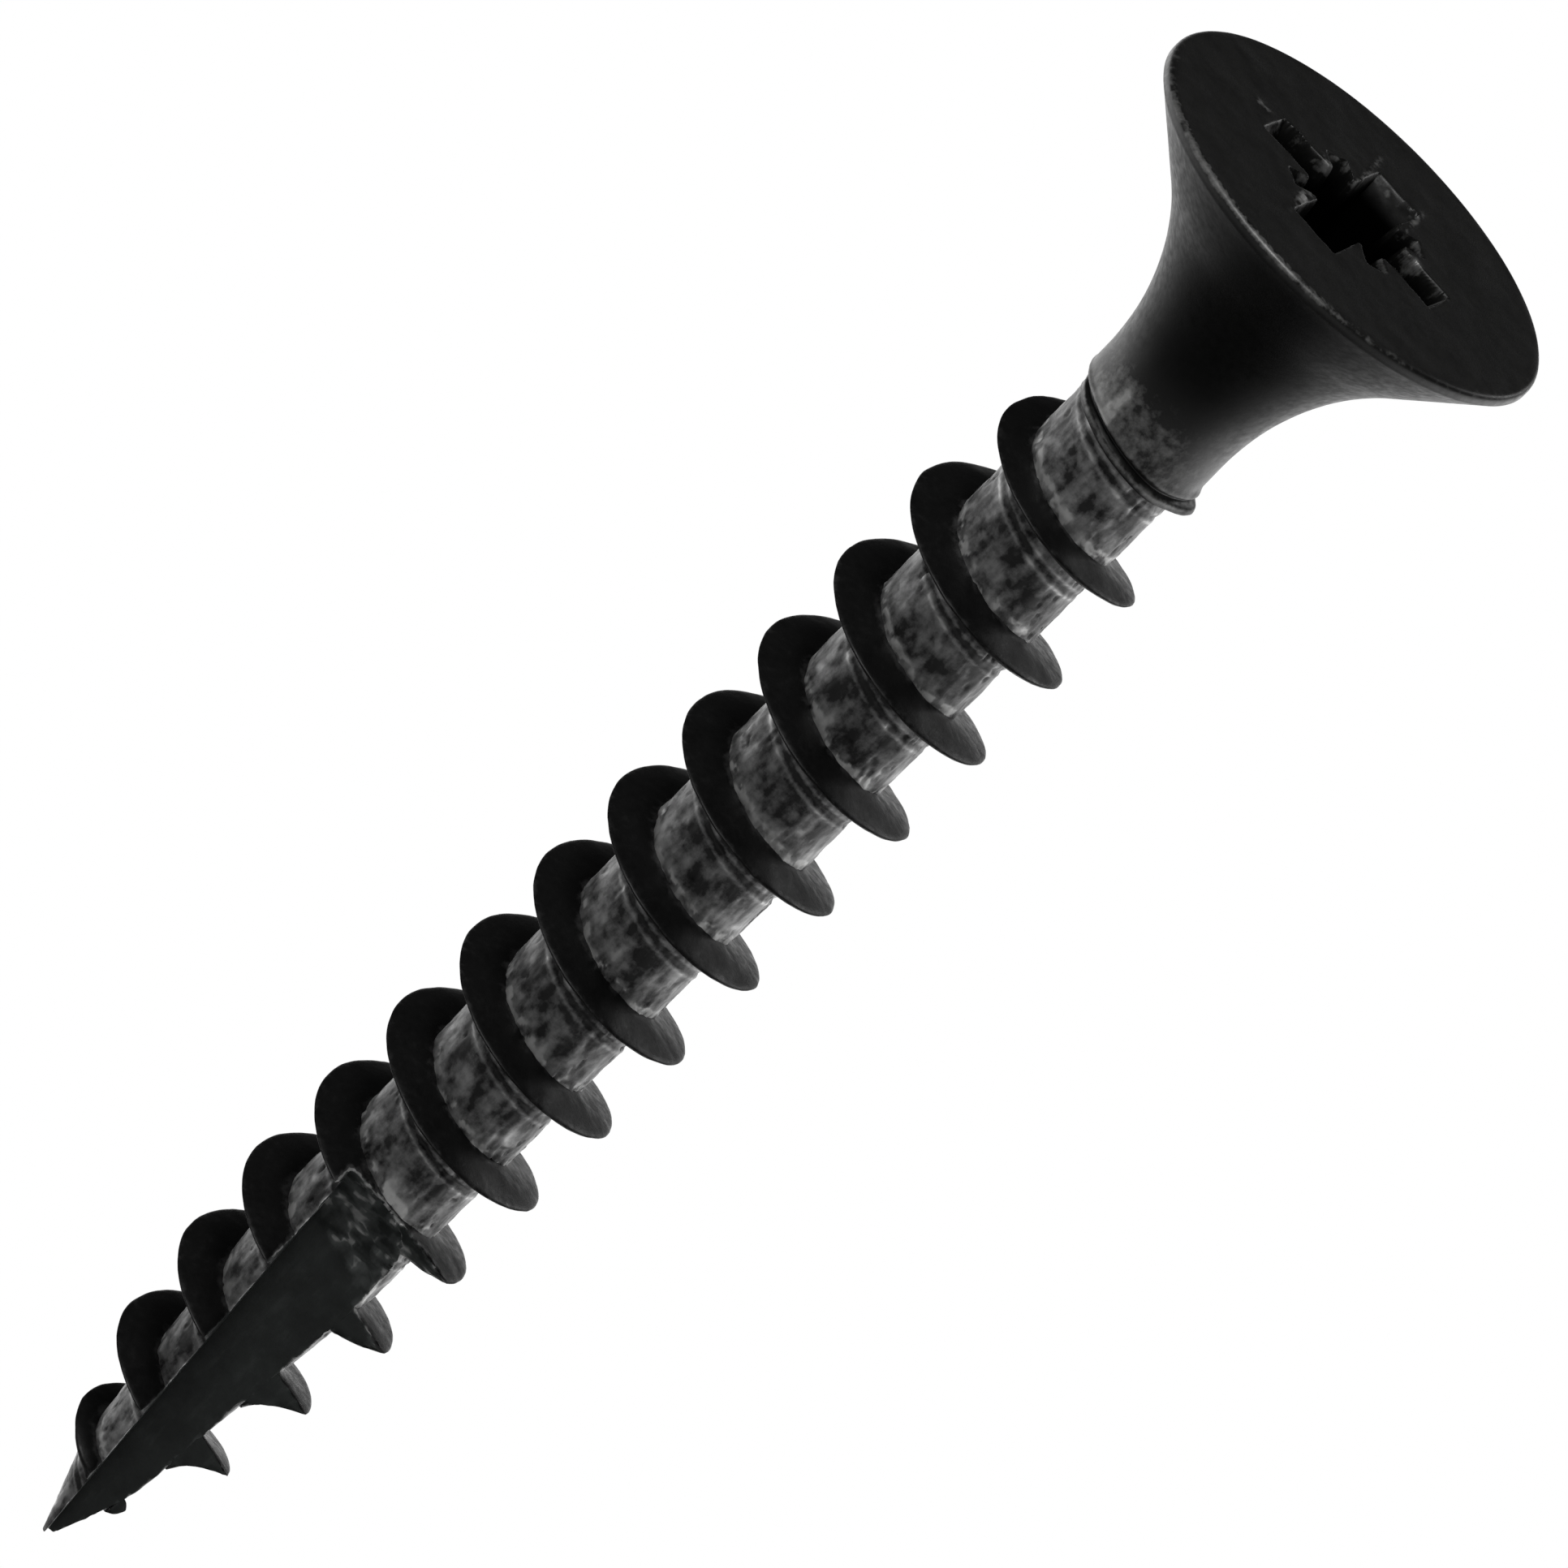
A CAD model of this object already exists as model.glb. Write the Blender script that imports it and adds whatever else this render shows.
import itertools
import math

import bmesh
import bpy
import numpy as np
from mathutils import Matrix, Quaternion, Vector
from mathutils.kdtree import KDTree


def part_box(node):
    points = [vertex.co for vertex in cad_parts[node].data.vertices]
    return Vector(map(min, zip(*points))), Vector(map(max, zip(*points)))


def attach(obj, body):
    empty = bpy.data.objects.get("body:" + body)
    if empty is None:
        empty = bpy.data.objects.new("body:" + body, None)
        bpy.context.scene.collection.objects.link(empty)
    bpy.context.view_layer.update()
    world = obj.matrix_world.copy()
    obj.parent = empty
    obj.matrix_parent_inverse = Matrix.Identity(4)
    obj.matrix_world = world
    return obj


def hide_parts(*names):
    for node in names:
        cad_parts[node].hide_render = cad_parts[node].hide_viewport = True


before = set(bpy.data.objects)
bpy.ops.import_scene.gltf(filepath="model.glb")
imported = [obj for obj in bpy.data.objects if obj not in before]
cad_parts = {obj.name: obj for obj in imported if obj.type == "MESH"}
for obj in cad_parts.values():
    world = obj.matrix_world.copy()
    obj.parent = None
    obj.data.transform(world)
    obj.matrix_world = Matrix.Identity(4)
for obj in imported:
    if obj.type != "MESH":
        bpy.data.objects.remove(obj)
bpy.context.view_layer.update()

# A black countersunk wood screw, standing on its axis with its tip down. Lengths are in millimetres, and
# MM turns them into Blender's metres. Angles are in radians, apart from those given in degrees to
# finish_piece and soft_light. A depth is measured down the axis from the flat head top.

MM = 0.001


def node_size(node):
    """A CAD node's largest radius, its upper depth and its lower depth."""
    low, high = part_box(node)
    return high.x / MM, -high.z / MM, -low.z / MM


HEAD_RADIUS, _, NECK_TOP = node_size("head")
STEP_DEPTH = node_size("neck")[2]
CORE_RADIUS, _, POINT_TOP = node_size("core")
CREST_RADIUS = node_size("thread")[0]
LENGTH = node_size("point")[2]

# Head and neck.
NECK_RADIUS = 1.60
RIM_LAND = 0.22
RIM_ROUNDING = 0.11
CONE_ANGLE = math.radians(45)
STEP_TILT = 0.26
GROOVE_DEPTH, GROOVE_ABOVE_STEP, GROOVE_WIDTH = 0.11, 0.26, 0.065
LIP_HEIGHT, LIP_ABOVE_STEP, LIP_WIDTH = 0.02, 0.40, 0.10
BURR_HEIGHT, SIDE_BURR_HEIGHT, WORN_OFF_HEIGHT = 0.24, 0.05, 0.15
NECK_STREAK_ANGLE = math.radians(-114)
WORN_SIDE = math.radians(238)
LIT_RIM_SIDE = math.radians(248)

# Cross recess.
RECESS_DEPTH = 2.45
RECESS_TURN = math.radians(-8)
WING_SPAN, WING_WIDTH, WING_END_ANGLE = 4.66, 1.08, math.radians(26.5)
NOTCH_SPAN, NOTCH_WIDTH, NOTCH_END_ANGLE = 3.40, 0.50, math.radians(17)
SIDE_ANGLE = math.radians(4)
BORE_RADIUS, BORE_FOOT_RADIUS, BORE_CONE_DEPTH = 1.20, 0.78, 0.45
RECESS_SOFTNESS, TOP_EDGE_SOFTNESS = 0.04, 0.012

# Point: (depth, radius) stations below the plain core. Its end is bent a little off the axis.
TIP_CONE_DEPTH, TIP_CONE_RADIUS, TIP_RADIUS = 37.9, 0.76, 0.12
POINT_TAPER = [(31.0, CORE_RADIUS), (TIP_CONE_DEPTH, TIP_CONE_RADIUS), (LENGTH, TIP_RADIUS)]
TIP_BEND, TIP_BEND_DEPTH = 0.09, 35

# Thread ridge.
PITCH = 2.268
PHASE = math.radians(24)
HEAD_SIDE_ROOT, TIP_SIDE_ROOT = 0.20, 0.34
CREST_LAND = 0.05
FLANK_POWER = 1.5
THREAD_TOP, THREAD_END = 6.72, 38.7
RUNOUT_DEPTH, RUNOUT_LENGTH, RUNOUT_RADIUS, RUNOUT_POWER = 6.50, 3.5, 1.45, 0.36
CREST_TAPER = [(31.4, CREST_RADIUS), (36.1, 1.85), (THREAD_END, 0.72)]
CREST_ROUND_FROM, CREST_ROUND_SPAN = 0.93, 0.07
BLUNT_DEPTHS, LAST_TOOTH_FADE, LAST_TOOTH_DROP = (37.0, 38.2), 38.45, 0.85
SLOT_SIDE, SLOT_ROOT_DEPTHS, SLOT_ROOT_EXTRA = math.radians(5), (30.5, 33.5), 0.62

# Cutting slot in the point, from the tip up.
SLOT_LENGTH, SLOT_RUNOUT, SLOT_REACH = 9.4, 3.1, 4.0
SLOT_FLOOR_OFFSET, SLOT_WALL_OFFSET = 0.08, 0.06
SLOT_ANGLE = math.radians(3.9)
CUT_CELL = 0.10
CUT_ROUNDING, CUT_PASSES = 0.07, 8
CUT_SINK = 0.015
CUT_BURR, TORN_DEPTH, TORN_RISE, TORN_SLANT = 0.030, 0.07, 0.15, 0.40

# Camera: its aim point, distance, angle down, roll, lens, sensor and clipping distances.
CAMERA_AIM = (-0.042, 0, -16.754)
CAMERA_DISTANCE = 240.98
CAMERA_RISE, CAMERA_ROLL = math.radians(24.313), math.radians(44.94)
CAMERA_LENS, CAMERA_SENSOR = 284.96, 36.0
CAMERA_NEAR, CAMERA_FAR = 10, 20000

# Floor: its size, and how far it is below the tip.
FLOOR_SIZE, FLOOR_DROP = 12000, 30

# Band of light round the screw, placed by the z and y of a direction of length 1, and its strengths.
BAND_TOP, BAND_FOOT = (0.10, -0.12), (-0.86, -0.52)
BAND_FRONT, BAND_BACK = -0.45, 0.25
DIM_BAND, BRIGHT_BAND, GLOW = 0.28, 1.7, 0.035


# --- shape helpers ----------------------------------------------------------------------------------

# Odd multipliers that scramble whole numbers, for random lumps that come out the same every time.
AXIS_MIX, SEED_MIX, FIRST_MIX, LAST_MIX = (73856093, 19349663, 83492791), 7919, 1274126177, 2246822519
LOW_BITS = 0xFFFFFFFF


def lumps(points, size, seed=0):
    """Smooth random lumps of a given size, -1 to 1, repeatable for a seed. size may differ by axis."""
    scaled = np.asarray(points, float) / size
    cell = np.floor(scaled).astype(np.int64)
    share = scaled - cell
    share = share * share * (3 - 2 * share)
    total = np.zeros(share.shape[:-1])
    for corner in itertools.product((0, 1), repeat=3):
        weight = np.prod(np.where(corner, share, 1 - share), axis=-1)
        spot = cell + corner
        by_axis = spot * AXIS_MIX
        mixed = by_axis[..., 0] ^ by_axis[..., 1] ^ by_axis[..., 2]
        mixed = ((mixed ^ (seed * SEED_MIX)) * FIRST_MIX) & LOW_BITS
        mixed = ((mixed ^ (mixed >> 15)) * LAST_MIX) & LOW_BITS
        total += weight * (((mixed ^ (mixed >> 13)) & 0xFFFF) / 32767.5 - 1)
    return total


def rough(points, size, seed=0, octaves=3):
    """Lumps at several sizes, each half the size and strength of the one before."""
    total = 0
    for octave in range(octaves):
        total = total + lumps(points, np.asarray(size) / 2 ** octave, seed + 17 * octave) / 2 ** octave
    return total


def ramp(values, start, end):
    """0 before start, 1 after end, and smooth between them."""
    share = np.clip((np.asarray(values, float) - start) / (end - start), 0, 1)
    return share * share * (3 - 2 * share)


def bell(values, centre, width):
    """1 at the centre, falling to 0 on both sides."""
    return np.exp(-((np.asarray(values, float) - centre) / width) ** 2)


def along(depth, stations):
    """The value at a depth, on straight lines between (depth, value) stations."""
    depths, values = zip(*stations)
    return np.interp(depth, depths, values)


def polar(points):
    """Radius, angle and depth of each point."""
    x, y, z = points[..., 0], points[..., 1], points[..., 2]
    return np.hypot(x, y), np.arctan2(y, x), -z


def outward(points):
    """The unit vector away from the axis at each point."""
    flat = points * (1, 1, 0)
    return flat / np.maximum(np.linalg.norm(flat, axis=-1, keepdims=True), 1e-9)


def turned(outline, columns):
    """Rings of points that an outline of (radius, depth) corners sweeps round the axis."""
    radius, depth = np.array(outline).T
    angle = np.arange(columns) * 2 * math.pi / columns
    rings = np.empty((len(radius), columns, 3))
    rings[..., 0] = radius[:, None] * np.cos(angle)
    rings[..., 1] = radius[:, None] * np.sin(angle)
    rings[..., 2] = -depth[:, None]
    return rings


def skin(name, rings):
    """A closed mesh over rings of points, with a flat cap on the first ring and on the last."""
    count, columns = rings.shape[:2]
    row, column = np.meshgrid(np.arange(count - 1), np.arange(columns), indexing="ij")
    here = (row * columns + column).ravel()
    beside = (row * columns + (column + 1) % columns).ravel()
    quads = np.stack([here, beside, beside + columns, here + columns], axis=1)
    caps = [list(range(columns))[::-1], list(range((count - 1) * columns, count * columns))]
    return piece_from(name, rings.reshape(-1, 3), quads.tolist() + caps)


def piece_from(name, points, faces):
    """A new object in metres whose faces point outwards."""
    mesh = bpy.data.meshes.new(name)
    mesh.from_pydata((np.asarray(points) * MM).tolist(), [], faces)
    piece = bpy.data.objects.new(name, mesh)
    bpy.context.scene.collection.objects.link(piece)
    triangles = np.array([t.vertices[:] for t in loop_triangles(mesh)])
    a, b, c = (np.asarray(points)[triangles[:, side]] for side in range(3))
    if np.einsum("ij,ij->i", a, np.cross(b, c)).sum() < 0:
        mesh.flip_normals()
    return piece


def loop_triangles(mesh):
    mesh.calc_loop_triangles()
    return mesh.loop_triangles


def points_of(piece):
    """The mesh's points in millimetres."""
    flat = np.empty(len(piece.data.vertices) * 3)
    piece.data.vertices.foreach_get("co", flat)
    return flat.reshape(-1, 3) / MM


def set_points(piece, points):
    piece.data.vertices.foreach_set("co", (points * MM).ravel())
    piece.data.update()


def set_mark(piece, name, values):
    """Stores a value from 0 to 1 at each point for the materials to read.

    "wear" is how far the black coat is worn through, and "shade" is how dark and dull the surface is, in
    the recess and under the head."""
    layer = piece.data.attributes.new(name, "FLOAT", "POINT")
    layer.data.foreach_set("value", np.clip(values, 0, 1).astype(np.float32))


def finish_piece(piece, node, edge_angle, *materials):
    """Shades the piece, gives it its materials and stands it in for its CAD node. Edges sharper than
    edge_angle, in degrees, stay sharp."""
    for material in materials:
        piece.data.materials.append(material)
    piece.data.shade_smooth()
    piece.data.set_sharp_from_angle(angle=math.radians(edge_angle))
    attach(piece, "root")
    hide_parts(node)


# --- materials --------------------------------------------------------------------------------------

BLACK, BARE_STEEL = (0, 0, 0), (0.75, 0.75, 0.74)
FLARE_COAT, FLARE_WORN = (0.0090, 0.0090, 0.0084), (0.36, 0.36, 0.355)
CORE_COAT, CORE_WORN = (0.015, 0.015, 0.015), (0.43, 0.43, 0.43)
SLOT_COAT, SLOT_WORN = (0.0270, 0.0310, 0.0295), (0.14, 0.15, 0.147)
THREAD_COAT, THREAD_WORN = (0.0065, 0.0065, 0.0065), (0.12, 0.12, 0.12)


def add_node(tree, kind, inputs=None, **settings):
    """Adds a shader node. An input is a number, a colour or another node's output."""
    node = tree.nodes.new(kind)
    for name, value in settings.items():
        setattr(node, name, value)
    for socket, value in (inputs or {}).items():
        if isinstance(value, bpy.types.NodeSocket):
            tree.links.new(value, node.inputs[socket])
        else:
            node.inputs[socket].default_value = value
    return node


def noise(tree, place, scale, detail, stretch=(1, 1, 1), roughness=0.6):
    """A noise pattern, 0 to 1, with scale in lumps per millimetre."""
    factors = [share * scale / MM for share in stretch]
    scaled = add_node(tree, "ShaderNodeMapping", {"Vector": place, "Scale": factors})
    pattern = add_node(tree, "ShaderNodeTexNoise", {"Vector": scaled.outputs[0], "Scale": 1.0,
                                                    "Detail": detail, "Roughness": roughness})
    return pattern.outputs["Fac"]


def spread(tree, value, low, high, new_low=0.0, new_high=1.0):
    """Maps low..high of a value onto new_low..new_high, clamped."""
    return add_node(tree, "ShaderNodeMapRange", {"Value": value, "From Min": low, "From Max": high,
                                                 "To Min": new_low, "To Max": new_high}).outputs[0]


def sums(tree, operation, first, second):
    """One piece of shader arithmetic on two inputs."""
    return add_node(tree, "ShaderNodeMath", {0: first, 1: second}, operation=operation).outputs[0]


def mix_colours(tree, share, first, second):
    """Mixes two colours. A colour is another node's output or three levels."""
    sides = [side if isinstance(side, bpy.types.NodeSocket) else [*side, 1] for side in (first, second)]
    mixed = add_node(tree, "ShaderNodeMix", {"Factor": share, 6: sides[0], 7: sides[1]}, data_type="RGBA")
    return mixed.outputs[2]


def blackened(name, coat, worn, base_wear, streaks=0.0, grain=1.0, gloss=0.35):
    """Black phosphate over steel: a dark mottled coat that wear turns to grey metal.

    coat and worn are colours, base_wear is the wear where the mesh asks for none, and streaks is the
    share of the wear pattern that runs along the axis. grain is the bump's strength, gloss the sheen."""
    material = bpy.data.materials.new(name)
    material.use_nodes = True
    tree = material.node_tree
    shader = tree.nodes["Principled BSDF"]
    place = add_node(tree, "ShaderNodeTexCoord").outputs["Object"]
    cloud = noise(tree, place, 1.3, 5)
    speck = noise(tree, place, 6.0, 3)
    streak = noise(tree, place, 5.0, 3, stretch=(1, 1, 0.22))
    pattern = add_node(tree, "ShaderNodeMix", {"Factor": streaks, 2: speck, 3: streak}).outputs[0]
    pattern = sums(tree, "ADD", sums(tree, "MULTIPLY", pattern, 0.65), sums(tree, "MULTIPLY", cloud, 0.35))
    asked = add_node(tree, "ShaderNodeAttribute", attribute_name="wear").outputs["Fac"]
    amount = sums(tree, "ADD", asked, base_wear)
    threshold = spread(tree, amount, 0.0, 1.0, 0.70, 0.30)
    wear = spread(tree, sums(tree, "SUBTRACT", pattern, threshold), -0.14, 0.20)
    wear = sums(tree, "MULTIPLY", wear, spread(tree, amount, 0.0, 0.25))
    dark = mix_colours(tree, spread(tree, cloud, 0.35, 0.65), [level * 0.7 for level in coat],
                       [level * 1.25 for level in coat])
    colour = mix_colours(tree, wear, dark, worn)
    polish = sums(tree, "MULTIPLY", wear, spread(tree, amount, 0.75, 1.1, 0.0, 0.85))
    shine = mix_colours(tree, polish, colour, BARE_STEEL)
    shade = add_node(tree, "ShaderNodeAttribute", attribute_name="shade").outputs["Fac"]
    deep = mix_colours(tree, sums(tree, "MULTIPLY", shade, 0.9), shine, BLACK)
    tree.links.new(deep, shader.inputs["Base Color"])
    tree.links.new(sums(tree, "MULTIPLY", wear, 0.55), shader.inputs["Metallic"])
    tree.links.new(spread(tree, speck, 0.3, 0.7, 0.36, 0.52), shader.inputs["Roughness"])
    tree.links.new(spread(tree, shade, 0.0, 1.0, gloss, 0.0), shader.inputs["Specular IOR Level"])
    crystals = noise(tree, place, 22.0, 3)
    height = sums(tree, "ADD", sums(tree, "MULTIPLY", crystals, 0.4), speck)
    bump = add_node(tree, "ShaderNodeBump", {"Strength": 0.5 * grain, "Distance": 0.012 * MM,
                                             "Height": height})
    tree.links.new(bump.outputs[0], shader.inputs["Normal"])
    return material


# --- head -------------------------------------------------------------------------------------------


def wall_depth(inset, angle, softness=TOP_EDGE_SOFTNESS):
    """Depth of a leaning wall at a distance inside its top edge, with that edge rounded."""
    return np.logaddexp(0, inset / softness) * softness / math.tan(angle)


def soft_min(first, second, softness=RECESS_SOFTNESS):
    """The smaller of two depths, blended where they meet."""
    return -softness * np.logaddexp(-first / softness, -second / softness)


def wedge_depth(x, y, turn, span, width, end_angle):
    """Depth below the face of a wedge-shaped wing that runs both ways from the axis."""
    lengthwise = np.abs(x * math.cos(turn) + y * math.sin(turn))
    sideways = np.abs(y * math.cos(turn) - x * math.sin(turn))
    ends = wall_depth(span / 2 - lengthwise, end_angle)
    sides = wall_depth(width / 2 - sideways, SIDE_ANGLE)
    return soft_min(soft_min(ends, sides), RECESS_DEPTH)


def recess_depth(x, y):
    """Depth of the cross recess: two pairs of wings, two pairs of notches and a drilled centre."""
    radius = np.hypot(x, y)
    bore_angle = math.atan((BORE_RADIUS - BORE_FOOT_RADIUS) / RECESS_DEPTH)
    foot = RECESS_DEPTH + BORE_CONE_DEPTH * np.clip(1 - radius / BORE_FOOT_RADIUS, 0, 1)
    depth = soft_min(wall_depth(BORE_RADIUS - radius, bore_angle), foot)
    for turn in (RECESS_TURN, RECESS_TURN + math.pi / 2):
        depth = np.maximum(depth, wedge_depth(x, y, turn, WING_SPAN, WING_WIDTH, WING_END_ANGLE))
        depth = np.maximum(depth, wedge_depth(x, y, turn + math.pi / 4, NOTCH_SPAN, NOTCH_WIDTH,
                                              NOTCH_END_ANGLE))
    return depth


def arc(centre_radius, centre_depth, size, start, end, steps):
    """Outline corners round an arc. Angles in radians from straight out, turning downwards."""
    return [(centre_radius + size * math.cos(a), centre_depth + size * math.sin(a))
            for a in np.linspace(start, end, steps)]


def head_outline():
    """(radius, depth) corners from the middle of the face over the rim and down the flare."""
    inner = np.linspace(0.03, WING_SPAN / 2 + 0.15, 84)
    outer = np.linspace(inner[-1], HEAD_RADIUS - RIM_ROUNDING, 26)[1:-1]
    face = [(radius, 0.0) for radius in (*inner, *outer)]
    rim = arc(HEAD_RADIUS - RIM_ROUNDING, RIM_ROUNDING, RIM_ROUNDING, -math.pi / 2, 0, 6)
    tangent = NECK_TOP - RIM_LAND - (HEAD_RADIUS - NECK_RADIUS) / math.tan(CONE_ANGLE)
    fillet = tangent / math.tan(CONE_ANGLE / 2)
    centre = NECK_RADIUS + fillet
    flare = arc(centre, NECK_TOP, -fillet, CONE_ANGLE, 0, 48)
    cone = list(zip(np.linspace(HEAD_RADIUS, flare[0][0], 22), np.linspace(RIM_LAND, flare[0][1], 22)))
    return face + rim + [(HEAD_RADIUS, RIM_LAND * 0.6)] + cone[:-1] + flare


# Bright nicks on the head face beside the recess: centre x and y, half size in x and y, strength.
NICKS = [(-0.92, -1.50, 0.10, 0.50, 1.0), (-1.09, 0.87, 0.16, 0.16, 0.7), (1.42, 0.33, 0.20, 0.15, 0.6),
         (-0.40, 1.80, 0.07, 1.10, 0.5), (0.90, 1.40, 0.07, 0.90, 0.5), (-2.67, 0.54, 0.15, 0.15, 0.6)]


def nicks(points):
    """How strongly each point lies on a nick."""
    total = 0
    for x, y, wide, tall, strength in NICKS:
        total = total + strength * bell(points[:, 0], x, wide) * bell(points[:, 1], y, tall)
    return total * np.clip(0.6 + 0.8 * rough(points * (1, 1, 0), 0.22, 19), 0, 1)


def neck_patch(points):
    """Wear that fades in down the flare and covers the neck, most of it left of the front, and a bright
    streak along the axis there."""
    _, angle, depth = polar(points)
    sector = 0.30 + 0.70 * bell(np.mod(angle, 2 * math.pi), WORN_SIDE, 0.80)
    patch = ramp(depth, NECK_TOP - 1.0, NECK_TOP + 0.3) * sector * (0.80 + 0.32 * rough(points, 0.8, 27))
    streak = bell(angle, NECK_STREAK_ANGLE, 0.08) * ramp(depth, NECK_TOP - 0.6, NECK_TOP - 0.2)
    return patch + 1.1 * streak * np.clip(0.7 + 0.6 * rough(points, 0.28, 29), 0, 1)


def make_head(columns=480):
    """Flared head with the cross recess sunk into its face, whose edges and nicks are worn bright."""
    rings = turned(head_outline(), columns)
    head = skin("screw_head", rings)
    points = points_of(head)
    radius, angle, depth = polar(points)
    on_face = (depth < 1e-6) & (radius < HEAD_RADIUS - RIM_ROUNDING * 1.01)
    sunk = recess_depth(points[:, 0], points[:, 1]) * on_face
    nick = nicks(points) * on_face * (1 - ramp(sunk, 0.2, 0.5))
    upset = on_face * ramp(sunk, 0.0, 0.03) * (1 - ramp(sunk, 0.1, 0.5))
    points[:, 2] -= sunk
    points[:, 2] += on_face * 0.010 * rough(points, 0.9, 3) + 0.04 * nick
    points[:, 2] += upset * 0.06 * np.clip(rough(points, 0.42, 5), 0, 1)
    side = ~on_face & (depth < NECK_TOP - 0.05)
    uneven = side * 0.005 * rough(points, 1.4, 7) * ramp(NECK_TOP - depth, 0, 0.6)
    points += outward(points) * uneven[:, None]
    set_points(head, points)
    edge = on_face * bell(sunk, 0.10, 0.14) * ramp(sunk, 0.004, 0.03)
    rim_line = bell(depth, RIM_ROUNDING * 0.35, 0.06) * (radius > HEAD_RADIUS - RIM_ROUNDING)
    lit_side = bell(np.mod(angle, 2 * math.pi), LIT_RIM_SIDE, 0.62)
    set_mark(head, "wear", edge * (0.25 + 0.7 * rough(points, 0.30, 11)) + 1.3 * nick
             + rim_line * (0.12 + 0.66 * lit_side) + ~on_face * neck_patch(points))
    under_head = ~on_face * ramp(depth, 0.15, 0.6) * (1 - ramp(depth, NECK_TOP - 1.6, NECK_TOP - 0.1))
    set_mark(head, "shade", np.maximum(ramp(sunk, 0.12, 0.55), 0.6 * under_head))
    finish_piece(head, "head", 50, blackened("head_black", FLARE_COAT, FLARE_WORN, 0.0, 0.1, 0.4, 0.5))


# --- neck, core and point ---------------------------------------------------------------------------


def make_neck(columns=360):
    """Plain neck that ends in a rolled groove, a bead and a step, with a burr towards +X."""
    rounding = 0.06
    rows = []
    for depth in np.linspace(NECK_TOP, STEP_DEPTH - rounding, 64):
        above = STEP_DEPTH - depth
        lip = LIP_HEIGHT * bell(above, LIP_ABOVE_STEP, LIP_WIDTH)
        groove = GROOVE_DEPTH * bell(above, GROOVE_ABOVE_STEP, GROOVE_WIDTH)
        rows.append((NECK_RADIUS + lip - groove, depth))
    rows += arc(NECK_RADIUS - rounding, STEP_DEPTH - rounding, rounding, 0, math.pi / 2, 6)[1:]
    rows += [(CORE_RADIUS - 0.05, STEP_DEPTH + 0.02)]
    neck = skin("screw_neck", turned(rows, columns))
    points = points_of(neck)
    radius, angle, depth = polar(points)
    above = STEP_DEPTH - depth
    low = ramp(depth, NECK_TOP, STEP_DEPTH - 0.3)
    outer = radius > CORE_RADIUS
    burr = BURR_HEIGHT * bell(angle, 0, 0.36) + SIDE_BURR_HEIGHT * bell(angle, -1.0, 0.35)
    burr = burr * (1 - ramp(above, 0.0, 0.55))
    worn_off = WORN_OFF_HEIGHT * bell(np.abs(angle), math.pi, 0.75) * (1 - ramp(above, 0.0, 0.45))
    uneven = 0.010 * low * rough(points, (0.4, 0.4, 0.8), 23)
    uneven = uneven + 0.012 * bell(above, 0.1, 0.12) * rough(points, 0.3, 21)
    points += outward(points) * ((burr - worn_off + uneven) * outer)[:, None]
    points[:, 2] -= low * (STEP_TILT * np.cos(angle) - 0.05) + 0.02 * low * lumps(points, 0.6, 25)
    set_points(neck, points)
    bead_wear = 0.5 * bell(above, 0.12, 0.06)
    set_mark(neck, "wear", neck_patch(points) * ramp(above, 0.26, 0.40) + bead_wear)
    finish_piece(neck, "neck", 50, blackened("neck_black", FLARE_COAT, FLARE_WORN, 0.0, 0.1, 0.4, 0.5))


def helix_share(points):
    """How far down each point lies from the crest above it towards the next crest, 0 to 1."""
    _, angle, depth = polar(points)
    return np.mod(depth / PITCH - (angle - PHASE) / (2 * math.pi), 1.0)


def rolled_surface(points):
    """Height of the rolled core's surface: streaks along the axis, pits, and marks beside the thread."""
    share = helix_share(points)
    streaks = rough(points, (0.14, 0.14, 0.7), 31)
    patches = rough(points, 0.35, 33)
    pits = ramp(rough(points, (0.14, 0.14, 0.26), 37), 0.5, 1.1)
    lines = bell(share, 0.235, 0.020) - bell(share, 0.285, 0.022) + 0.8 * bell(share, 0.345, 0.018)
    broken = 0.55 + 0.45 * lumps(points, 0.7, 39)
    foot = bell(share, 0.90, 0.05) * rough(points, 0.22, 35)
    return 0.012 * streaks + 0.012 * patches - 0.040 * pits + 0.030 * lines * broken + 0.024 * foot


def rolled_wear(points):
    """The core is worn most just above the next turn of thread. Below the last turn run two light lines
    with a dark one between them."""
    share = helix_share(points)
    blotches = rough(points, (0.28, 0.28, 0.38), 51)
    spots = np.clip(0.1 + 1.8 * rough(points, 0.20, 53), 0, 1)
    lines = 0.40 * bell(share, 0.345, 0.020) + 0.30 * bell(share, 0.235, 0.015)
    lines = lines - 0.40 * bell(share, 0.285, 0.020)
    foot = 0.20 * ramp(share, 0.45, 0.80) + bell(share, 0.85, 0.05) * (0.1 + 1.3 * spots)
    return 0.22 + 0.40 * blotches + foot + lines


def make_core(columns=208, rows=410):
    """Round core that the thread stands on, from a little inside the neck to the point."""
    top = STEP_DEPTH - 2 * STEP_TILT
    outline = [(CORE_RADIUS, depth) for depth in np.linspace(top, POINT_TOP, rows)]
    core = skin("screw_core", turned(outline, columns))
    points = points_of(core)
    points += outward(points) * rolled_surface(points)[:, None]
    set_points(core, points)
    set_mark(core, "wear", rolled_wear(points))
    finish_piece(core, "core", 60, blackened("core_black", CORE_COAT, CORE_WORN, 0.1, 0.4, 0.6))


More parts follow.
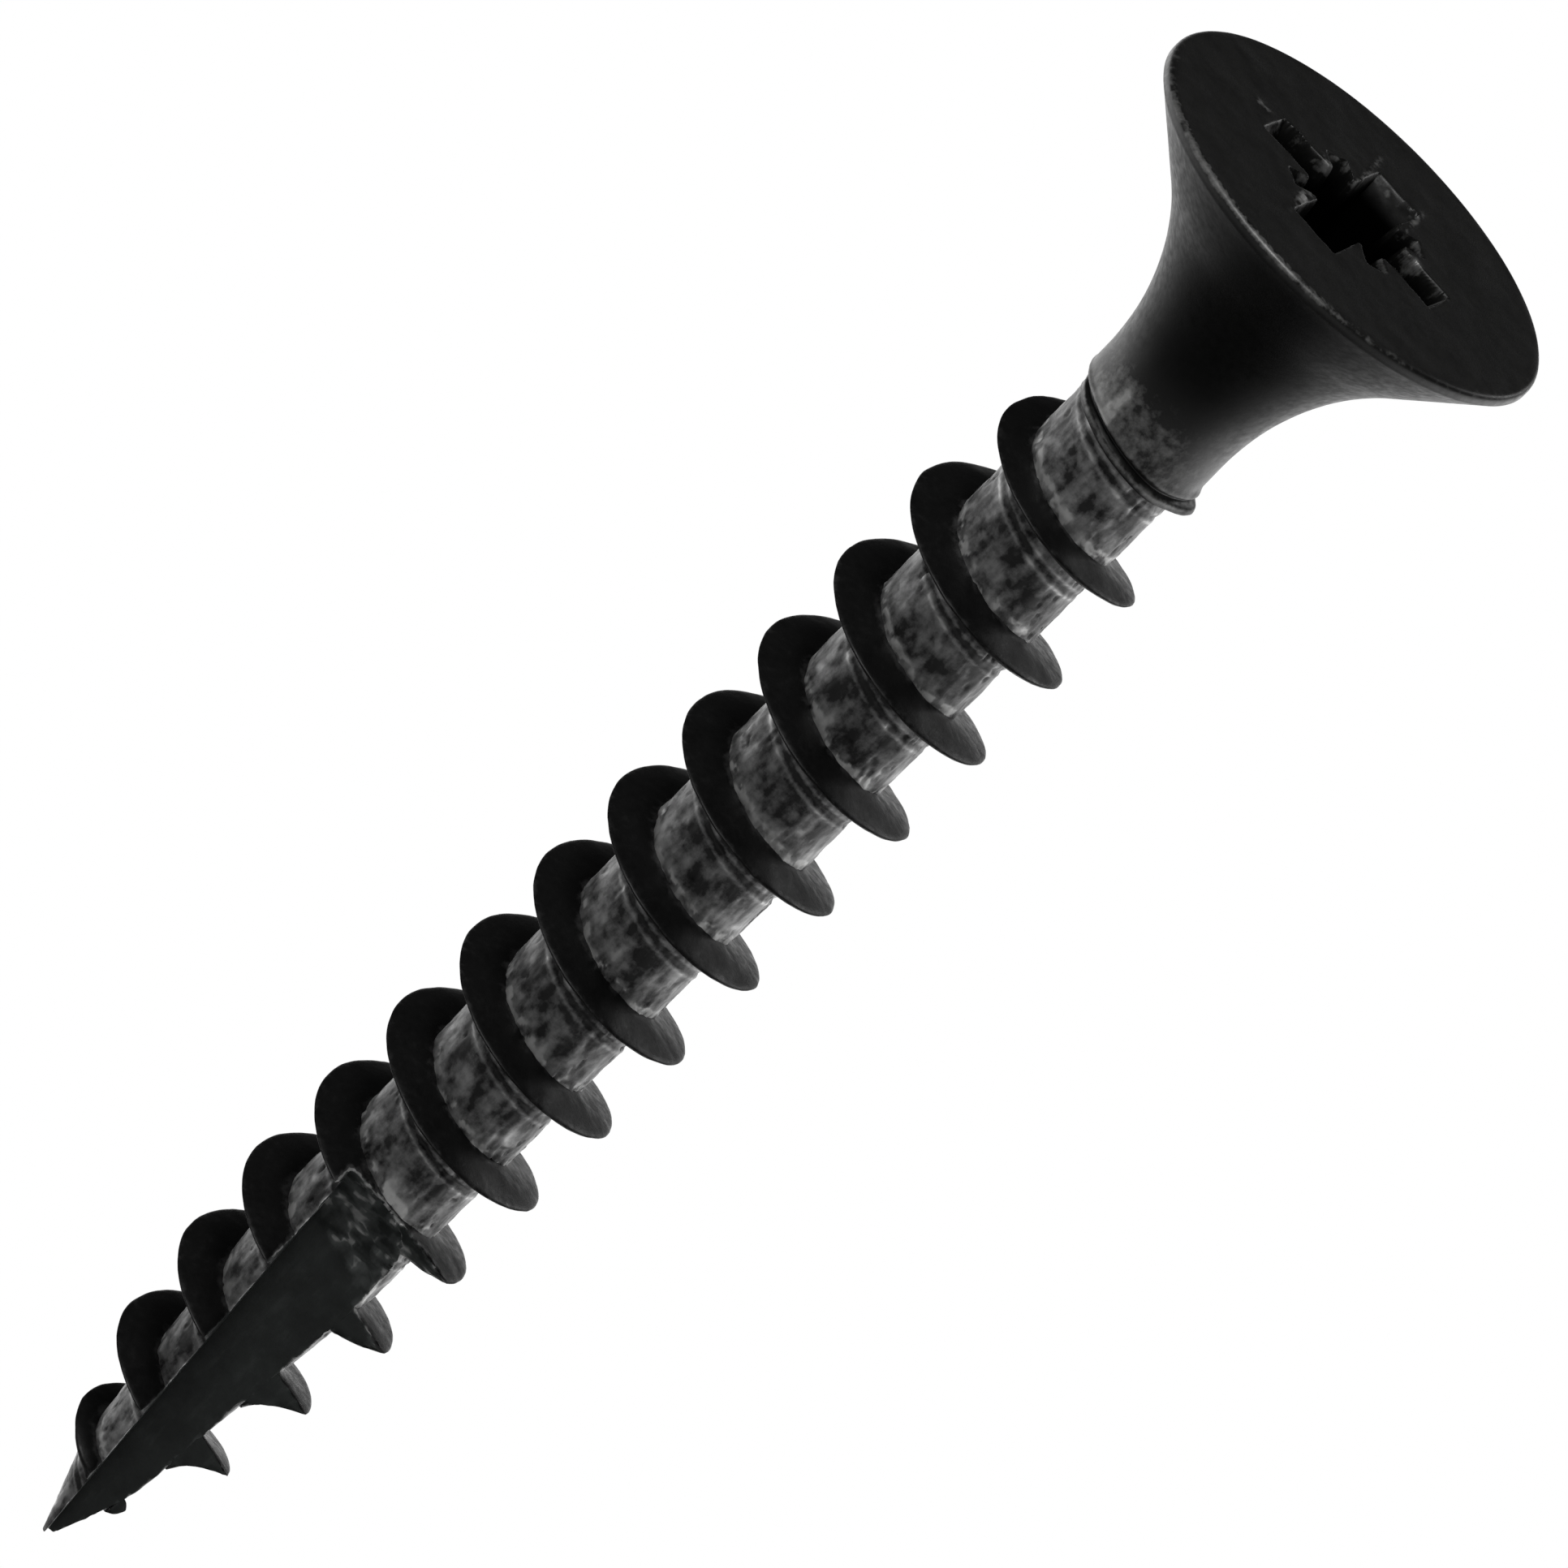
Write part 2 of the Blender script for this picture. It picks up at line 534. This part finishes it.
def slot_cutter():
    """A block whose side section is the slot's straight floor and its curved run-out to the front."""
    runout = arc(SLOT_RUNOUT, SLOT_LENGTH, SLOT_RUNOUT, math.pi, math.pi / 2, 25)
    section = [(-across, height) for across, height in runout]
    section += [(-SLOT_REACH, SLOT_LENGTH + SLOT_RUNOUT), (-SLOT_REACH, -1.0), (0.0, -1.0)]
    lean = Quaternion((0, 1, 0), -SLOT_ANGLE) @ Quaternion((1, 0, 0), SLOT_ANGLE)
    tip = Vector((SLOT_WALL_OFFSET, SLOT_FLOOR_OFFSET, -LENGTH))
    place = Matrix.Translation(tip) @ lean.to_matrix().to_4x4()
    corners = [place @ Vector((side, y, z)) for side in (0.0, SLOT_REACH) for y, z in section]
    count = len(section)
    sides = [[i, (i + 1) % count, (i + 1) % count + count, i + count] for i in range(count)]
    ends = [list(range(count))[::-1], list(range(count, 2 * count))]
    cutter = piece_from("slot_cutter", np.array(corners), sides + ends)
    return cutter, np.array(place)


def cut_slot(piece, cutter, place, covered, sink):
    """Takes the slot out of a piece, rounds its edges, and gives the cut faces the second material.

    covered(points) is 1 where another piece of the same metal hides the edge, which stays square there. The
    cut faces are sunk there by a distance, so that they don't lie in the other piece's own cut faces.
    Returns how close each point is to a cut edge, 1 on it and 0 well away from it, how far it is into
    the torn metal of the run-out, and whether it lies on a cut face."""
    blade = piece.modifiers.new("slot", "BOOLEAN")
    blade.operation, blade.solver, blade.object = "DIFFERENCE", "MANIFOLD", cutter
    shown = piece.evaluated_get(bpy.context.evaluated_depsgraph_get())
    whole, piece.data = piece.data, bpy.data.meshes.new_from_object(shown)
    piece.modifiers.clear()
    piece.data.materials.clear()
    bpy.data.meshes.remove(whole)
    piece.data.polygons.foreach_set("material_index", cut_faces(piece, place).astype(np.int32))
    refine_cut(piece.data, place, CUT_CELL)
    return round_cut(piece, CUT_ROUNDING, CUT_PASSES, covered, sink)


def refine_cut(mesh, place, spacing):
    """Divides the cut faces into small cells along the slot's own directions, so that their edges can be
    rounded."""
    shape = bmesh.new()
    shape.from_mesh(mesh)
    cells = [face for face in shape.faces if face.material_index == 1]
    for parts in (shape.edges, shape.verts):
        cells += [part for part in parts if any(side.material_index == 1 for side in part.link_faces)]
    limits = [(0.0, CREST_RADIUS), (-CREST_RADIUS, 0.0), (0.0, SLOT_LENGTH + SLOT_RUNOUT)]
    for axis, (low, high) in enumerate(limits):
        for offset in np.arange(low + spacing / 2, high, spacing):
            middle = (place[:3, 3] + place[:3, axis] * offset) * MM
            halves = bmesh.ops.bisect_plane(shape, geom=cells, dist=0.05 * spacing * MM,
                                            plane_co=middle, plane_no=place[:3, axis])
            cells = halves["geom"]
    crowded = [face for face in shape.faces if len(face.verts) > 4 and face.calc_area() < 1e-6]
    bmesh.ops.triangulate(shape, faces=crowded)
    shape.to_mesh(mesh)
    shape.free()


def round_cut(piece, reach, passes, covered, sink):
    """Smooths the points near the cut's edges, raises an uneven burr there, and tears the run-out."""
    mesh = piece.data
    edges = np.empty(len(mesh.edges) * 2, np.int64)
    mesh.edges.foreach_get("vertices", edges)
    edges = edges.reshape(-1, 2)
    on_cut, off_cut = np.zeros(len(mesh.vertices), bool), np.zeros(len(mesh.vertices), bool)
    for face in mesh.polygons:
        (on_cut if face.material_index == 1 else off_cut)[list(face.vertices)] = True
    rim = np.flatnonzero(on_cut & off_cut)
    points = points_of(piece)
    tree = KDTree(len(rim))
    for index in rim:
        tree.insert(points[index], index)
    tree.balance()
    close = np.zeros(len(points))
    for index in np.flatnonzero(-points[:, 2] > LENGTH - SLOT_LENGTH - 2 * SLOT_RUNOUT):
        close[index] = math.exp(-(tree.find(points[index])[2] / reach) ** 2)
    hidden = covered(points)
    close *= 1 - hidden
    links = np.bincount(edges.ravel(), minlength=len(points))
    for _ in range(passes):
        total = np.zeros_like(points)
        for here, there in ((0, 1), (1, 0)):
            np.add.at(total, edges[:, here], points[edges[:, there]])
        points += (total / links[:, None] - points) * (close * 0.6)[:, None]
    depth = -points[:, 2]
    lift = close * CUT_BURR * np.clip(rough(points, 0.28, 61), -0.4, 1) * (1 - ramp(depth, 36.5, 38.5))
    points += outward(points) * lift[:, None]
    points[:, 1] -= lift * 0.7
    flat = on_cut & ~off_cut
    lower_edge = LENGTH - SLOT_LENGTH - TORN_RISE + TORN_SLANT * points[:, 0]
    lower_edge = lower_edge + 0.12 * rough(points, 0.35, 75)
    torn = flat * ramp(lower_edge - depth, -0.05, 0.15)
    points[:, 1] += torn * TORN_DEPTH * rough(points, (0.30, 0.30, 0.22), 67)
    points += (sink * hidden * on_cut)[:, None] * (-1, 1, 0)
    set_points(piece, points)
    return close, torn, flat


def cut_faces(piece, place):
    """Which faces lie on the slot's floor, wall or run-out."""
    count = len(piece.data.polygons)
    centres, normals = np.empty(count * 3), np.empty(count * 3)
    piece.data.polygons.foreach_get("center", centres)
    piece.data.polygons.foreach_get("normal", normals)
    inverse = np.linalg.inv(place)
    local = centres.reshape(-1, 3) / MM @ inverse[:3, :3].T + inverse[:3, 3]
    facing = normals.reshape(-1, 3) @ inverse[:3, :3].T
    x, y, z = local.T
    near = 0.012
    inside = (x > -near) & (y < near) & (z < SLOT_LENGTH + SLOT_RUNOUT + near)
    floor = inside & (np.abs(y) < near) & (facing[:, 1] < -0.95) & (z < SLOT_LENGTH + near)
    wall = inside & (np.abs(x) < near) & (facing[:, 0] > 0.95)
    round_end = np.hypot(y + SLOT_RUNOUT, z - SLOT_LENGTH)
    on_arc = (np.abs(round_end - SLOT_RUNOUT) < near) & (np.abs(facing[:, 0]) < 0.3)
    runout = inside & (z > SLOT_LENGTH) & on_arc
    return floor | wall | runout


def wear_with_slot(points, wear, edge, torn, flat):
    """Cut faces are plain with faint lines along them, the run-out is blotchy, and its edge is light."""
    lines = 0.10 + 0.08 * rough(points, (0.10, 0.10, 1.4), 73)
    at_top = 1 - ramp(-points[:, 2], 31.0, 32.5)
    light_edge = (0.06 + 0.75 * at_top) * edge * (1 + rough(points, 0.2, 63))
    blotches = torn * (0.28 + 0.75 * rough(points, (0.30, 0.30, 0.22), 71))
    return np.where(flat, lines, wear) + light_edge + blotches


def bend_tip(points, depth):
    """Bends the tip a little off the axis. depth is each point's depth before its surface was roughened."""
    points[:, 0] += TIP_BEND * ramp(depth, TIP_BEND_DEPTH, LENGTH)


def under_ridge(points):
    """1 under the thread's root near the slot, falling to 0 at about the root's edges."""
    past_crest = (np.mod(helix_share(points) + 0.5, 1.0) - 0.5) * PITCH
    return ramp(past_crest, -0.32, -0.22) * (1 - ramp(past_crest, 0.75, 1.00))


def inside_core(points):
    """1 from 0.04 mm below the core's surface inwards, falling to 0 at 0.02 mm above it."""
    radius, _, depth = polar(points)
    return 1 - ramp(radius - core_radius_at(depth), -0.04, 0.02)


def make_point(cutter, place, columns=240):
    """Tapered, slotted point whose tip is bent a little off the axis."""
    taper, cone = np.linspace(POINT_TOP, TIP_CONE_DEPTH, 205), np.linspace(TIP_CONE_DEPTH, LENGTH, 50)
    depths = np.concatenate([taper, cone[1:]])
    stations = [(POINT_TOP, CORE_RADIUS)] + POINT_TAPER
    outline = [(float(along(depth, stations)), depth) for depth in depths]
    point = skin("screw_point", turned(outline, columns))
    points = points_of(point)
    _, _, depth = polar(points)
    fade = 1 - 0.6 * ramp(depth, 36, LENGTH)
    points += outward(points) * (rolled_surface(points) * fade)[:, None]
    bend_tip(points, depth)
    set_points(point, points)
    slot_marks = cut_slot(point, cutter, place, under_ridge, 0.0)
    points = points_of(point)
    set_mark(point, "wear", wear_with_slot(points, rolled_wear(points), *slot_marks))
    finish_piece(point, "point", 40,
                 blackened("point_black", CORE_COAT, CORE_WORN, 0.1, 0.4, 0.6),
                 blackened("slot_black", SLOT_COAT, SLOT_WORN, 0.02, 0.7, 0.6))


# --- thread -----------------------------------------------------------------------------------------


def core_radius_at(depth):
    return along(depth, [(POINT_TOP, CORE_RADIUS)] + POINT_TAPER)


def crest_radius_at(depth):
    """Rises steeply out of the neck step, eases into full size, then tapers with the point."""
    share = np.clip((depth - RUNOUT_DEPTH) / RUNOUT_LENGTH, 0, 1)
    rising = RUNOUT_RADIUS + (CREST_RADIUS - RUNOUT_RADIUS) * share ** RUNOUT_POWER
    return np.minimum(rising, along(depth, [(THREAD_TOP, CREST_RADIUS)] + CREST_TAPER))


def make_thread(cutter, place, steps_per_turn=150):
    """A helical ridge with a rounded crest and a root that flares into the core.

    The root is wider on the tip side beside the slot, and the ridge ends bluntly."""
    stations = round((THREAD_END - THREAD_TOP) / PITCH * steps_per_turn)
    depth = np.linspace(THREAD_TOP, THREAD_END, stations + 1)[:, None]
    turn = 2 * math.pi * depth / PITCH + PHASE
    rising = np.array([-0.16, -0.05, 0.02, 0.09, 0.20, 0.35, 0.50, 0.64, 0.76, 0.86, 0.93, 0.975, 0.995])
    share = np.concatenate([rising, [1.0], rising[::-1]])[None, :]
    side = np.concatenate([-np.ones(len(rising)), [0.0], np.ones(len(rising))])[None, :]
    spine = np.concatenate([np.cos(turn), np.sin(turn), depth * 0.5], axis=1)
    crest = crest_radius_at(depth) + 0.010 * rough(spine * 2.2, 0.5, 41)[:, None]
    core = core_radius_at(depth)
    height = (crest - core) * (1 - LAST_TOOTH_DROP * ramp(depth, LAST_TOOTH_FADE, THREAD_END))
    blunt = ramp(depth, *BLUNT_DEPTHS)
    fullness = height / (CREST_RADIUS - CORE_RADIUS) + 0.60 * blunt
    near_slot = (ramp(depth, *SLOT_ROOT_DEPTHS) - blunt) * np.clip(np.cos(turn - SLOT_SIDE), 0, 1) ** 5
    root = np.where(side < 0, HEAD_SIDE_ROOT, TIP_SIDE_ROOT + SLOT_ROOT_EXTRA * near_slot)
    power = np.where(side < 0, FLANK_POWER, FLANK_POWER * (1 - 0.68 * near_slot)) + 1.0 * blunt
    clipped = np.clip(share, 0, 1)
    half_width = root * (1 - clipped ** power) + CREST_LAND / 2
    rounded = np.sqrt(np.clip(1 - ((clipped - CREST_ROUND_FROM) / CREST_ROUND_SPAN) ** 2, 0, 1))
    half_width = np.where(share > CREST_ROUND_FROM, half_width * rounded, half_width)
    flare = 0.04 * np.exp(-clipped / 0.04) * (side != 0)
    place_depth = depth + side * (half_width + flare) * fullness
    radius = core + share * height
    rings = np.stack([radius * np.cos(turn), radius * np.sin(turn), -place_depth + 0 * radius], axis=-1)
    thread = skin("screw_thread", rings)
    points = points_of(thread)
    _, _, deep = polar(points)
    points += outward(points) * (0.006 * rough(points, 0.35, 43))[:, None]
    points[:, 2] += 0.008 * rough(points, 0.4, 47)
    bend_tip(points, deep)
    set_points(thread, points)
    slot_marks = cut_slot(thread, cutter, place, inside_core, CUT_SINK)
    points = points_of(thread)
    radius, _, deep = polar(points)
    reach = crest_radius_at(deep) - radius
    root_line = 0.35 * bell(radius - core_radius_at(deep), 0, 0.10) * (1 + rough(points, 0.2, 65))
    wear = 0.15 * bell(reach, 0, 0.08) + root_line
    set_mark(thread, "wear", wear_with_slot(points, wear, *slot_marks))
    finish_piece(thread, "thread", 40,
                 blackened("thread_black", THREAD_COAT, THREAD_WORN, 0.03, 0.2, 0.8, 0.30),
                 bpy.data.materials["slot_black"])


# --- studio -----------------------------------------------------------------------------------------


def make_floor():
    """A wide plain floor below the tip, white from above, clear from below, and left out of the screw's
    lighting, shadows and reflections."""
    bpy.ops.mesh.primitive_plane_add(size=FLOOR_SIZE * MM, location=(0, 0, -LENGTH * MM - FLOOR_DROP * MM))
    floor = bpy.context.object
    floor.name = "studio_floor"
    material = bpy.data.materials.new("floor_white")
    material.use_nodes = True
    tree = material.node_tree
    tree.nodes.clear()
    pale = add_node(tree, "ShaderNodeEmission", {"Color": (1, 1, 1, 1), "Strength": 1.0})
    clear = add_node(tree, "ShaderNodeBsdfTransparent")
    below = add_node(tree, "ShaderNodeNewGeometry").outputs["Backfacing"]
    final = add_node(tree, "ShaderNodeMixShader", {0: below, 1: pale.outputs[0], 2: clear.outputs[0]})
    end = add_node(tree, "ShaderNodeOutputMaterial")
    tree.links.new(final.outputs[0], end.inputs["Surface"])
    floor.data.materials.append(material)
    floor.visible_diffuse = floor.visible_glossy = floor.visible_shadow = False


def make_world():
    """White to the camera. The screw is lit by a faint glow from everywhere and by a pale band, bright
    behind the screw and dim in front of it. The band is full from 7 to 31 degrees below the horizon, and
    fades out at 6 degrees above it and at 59 degrees below it."""
    world = bpy.data.worlds.new("studio")
    bpy.context.scene.world = world
    world.use_nodes = True
    tree = world.node_tree
    tree.nodes.clear()
    way = add_node(tree, "ShaderNodeTexCoord").outputs["Generated"]
    parts = add_node(tree, "ShaderNodeSeparateXYZ", {"Vector": way})
    below_horizon = spread(tree, parts.outputs["Z"], *BAND_TOP)
    above_floor = spread(tree, parts.outputs["Z"], *BAND_FOOT)
    behind = spread(tree, parts.outputs["Y"], BAND_FRONT, BAND_BACK, DIM_BAND, BRIGHT_BAND)
    band = sums(tree, "MULTIPLY", sums(tree, "MULTIPLY", below_horizon, above_floor), behind)
    light = sums(tree, "ADD", band, GLOW)
    seen = add_node(tree, "ShaderNodeLightPath").outputs["Is Camera Ray"]
    strength = add_node(tree, "ShaderNodeMix", {"Factor": seen, 2: light, 3: 1.0}).outputs[0]
    back = add_node(tree, "ShaderNodeBackground", {"Color": (1, 1, 1, 1), "Strength": strength})
    end = add_node(tree, "ShaderNodeOutputWorld")
    tree.links.new(back.outputs[0], end.inputs["Surface"])


def soft_light(name, azimuth, elevation, distance, width, height, power):
    """A large area light aimed at the middle of the screw. Azimuth and elevation are in degrees, with
    azimuth 0 in front and 90 towards +X, and power is in watts."""
    lamp = bpy.data.lights.new(name, "AREA")
    lamp.shape, lamp.size, lamp.size_y, lamp.energy = "RECTANGLE", width * MM, height * MM, power
    light = bpy.data.objects.new(name, lamp)
    bpy.context.scene.collection.objects.link(light)
    turn, rise = math.radians(azimuth), math.radians(elevation)
    away = Vector((math.sin(turn) * math.cos(rise), -math.cos(turn) * math.cos(rise), math.sin(rise)))
    light.location = Vector((0, 0, -LENGTH * MM / 2)) + away * (distance * MM)
    light.rotation_mode = "QUATERNION"
    light.rotation_quaternion = away.to_track_quat("Z", "Y")
    light.visible_camera = False


def make_camera():
    """Looks down at the screw from the front, rolled so that the head is at the upper right."""
    camera = bpy.data.objects.new("camera", bpy.data.cameras.new("camera"))
    bpy.context.scene.collection.objects.link(camera)
    back = Vector((0, -math.cos(CAMERA_RISE), math.sin(CAMERA_RISE)))
    aim = Vector(CAMERA_AIM) * MM
    camera.location = aim + back * CAMERA_DISTANCE * MM
    camera.data.sensor_width, camera.data.lens = CAMERA_SENSOR, CAMERA_LENS
    camera.data.clip_start, camera.data.clip_end = CAMERA_NEAR * MM, CAMERA_FAR * MM
    roll = Quaternion((0, 0, 1), CAMERA_ROLL)
    camera.rotation_mode = "QUATERNION"
    camera.rotation_quaternion = (-back).to_track_quat("-Z", "Y") @ roll
    bpy.context.scene.camera = camera


make_head()
make_neck()
make_core()
cutter, cutter_place = slot_cutter()
make_point(cutter, cutter_place)
make_thread(cutter, cutter_place)
bpy.data.objects.remove(cutter)

make_floor()
make_world()
soft_light("top_light", -25, 63, 600, 220, 220, 1.2)
soft_light("right_light", 150, 25, 600, 160, 120, 0.3)
make_camera()
bpy.context.scene.view_settings.view_transform = "Standard"
